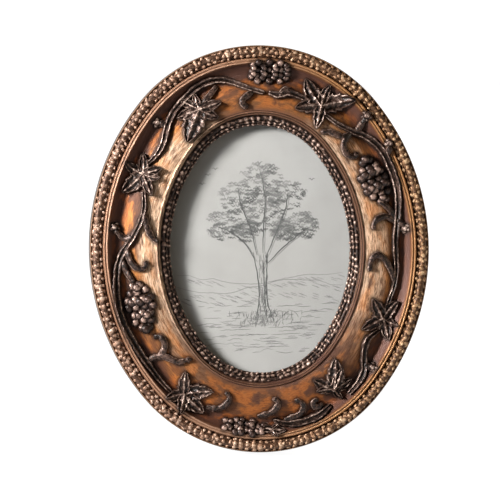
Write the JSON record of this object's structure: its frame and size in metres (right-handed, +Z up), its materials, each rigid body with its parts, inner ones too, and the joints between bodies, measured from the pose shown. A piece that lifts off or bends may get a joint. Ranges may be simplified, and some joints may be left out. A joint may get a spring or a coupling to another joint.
{
  "type": "oval picture frame",
  "caption": "Oval table-top picture frame with a gilt moulding, a grapevine in relief, roped and beaded edges, glass, a backboard with turn buttons, an easel leg and a hanging ring.",
  "frame": {"origin": "on the table, at the middle of the standing frame's width and depth", "axes": "+X to the right as the picture is seen, +Y to the back, +Z up; the face leans back 14 degrees"},
  "size_m": [0.23, 0.0916, 0.2684],
  "materials": {
    "gilt_composition": "satin",
    "bronzed_composition": "satin",
    "clear_glass": "gloss",
    "picture_paper": "matte",
    "grey_card": "matte",
    "black_board": "matte",
    "brass_sheet": "satin",
    "steel": "satin"
  },
  "bodies": {
    "frame": {"moulding": "gilt_composition", "outer_bead": "gilt_composition", "sight_bead": "gilt_composition", "leaf_upper_right": "bronzed_composition", "leaf_right": "bronzed_composition", "leaf_lower_right": "bronzed_composition", "leaf_bottom": "bronzed_composition", "leaf_lower_left": "bronzed_composition", "leaf_left": "bronzed_composition", "leaf_upper_left": "bronzed_composition", "grapes_top": "bronzed_composition", "grapes_right": "bronzed_composition", "grapes_bottom": "bronzed_composition", "grapes_left": "bronzed_composition", "vine_stem_right": "bronzed_composition", "vine_stem_left": "bronzed_composition", "tendrils_right": "bronzed_composition", "tendrils_left": "bronzed_composition", "buds": "bronzed_composition", "glass": "clear_glass", "picture": "picture_paper", "filler_card": "grey_card", "backboard": "black_board", "hinge_leaf_board": "brass_sheet", "hinge_pin": "steel", "rivets_board": "brass_sheet", "hanger_strap": "brass_sheet", "strap_screw": "steel", "button_screws": "steel"},
    "easel": {"easel_leg": "black_board", "hinge_leaf_leg": "brass_sheet", "rivets_leg": "brass_sheet"},
    "hanger": {"hanger_ring": "brass_sheet"},
    "turn_button_upper_right": {"turn_button_upper_right": "brass_sheet"},
    "turn_button_lower_right": {"turn_button_lower_right": "brass_sheet"},
    "turn_button_lower_left": {"turn_button_lower_left": "brass_sheet"},
    "turn_button_upper_left": {"turn_button_upper_left": "brass_sheet"}
  },
  "joints": [
    {"name": "easel_fold", "type": "hinge", "parent": "frame", "child": "easel", "pos_m": [0, 0.0129, 0.16192], "axis": [1, 0, 0], "range_deg": [-25, 0]},
    {"name": "hanger_swing", "type": "hinge", "parent": "frame", "child": "hanger", "pos_m": [0, 0.03126, 0.23825], "axis": [1, 0, 0], "range_deg": [-13, 165]},
    {"name": "turn_button_upper_right_turn", "type": "hinge", "parent": "frame", "child": "turn_button_upper_right", "pos_m": [0.04684, 0.02021, 0.20158], "axis": [0, 0.9703, -0.2419], "continuous": true},
    {"name": "turn_button_lower_right_turn", "type": "hinge", "parent": "frame", "child": "turn_button_lower_right", "pos_m": [0.04684, -0.01378, 0.06525], "axis": [0, 0.9703, -0.2419], "continuous": true},
    {"name": "turn_button_lower_left_turn", "type": "hinge", "parent": "frame", "child": "turn_button_lower_left", "pos_m": [-0.04684, -0.01378, 0.06525], "axis": [0, 0.9703, -0.2419], "continuous": true},
    {"name": "turn_button_upper_left_turn", "type": "hinge", "parent": "frame", "child": "turn_button_upper_left", "pos_m": [-0.04684, 0.02021, 0.20158], "axis": [0, 0.9703, -0.2419], "continuous": true}
  ]
}
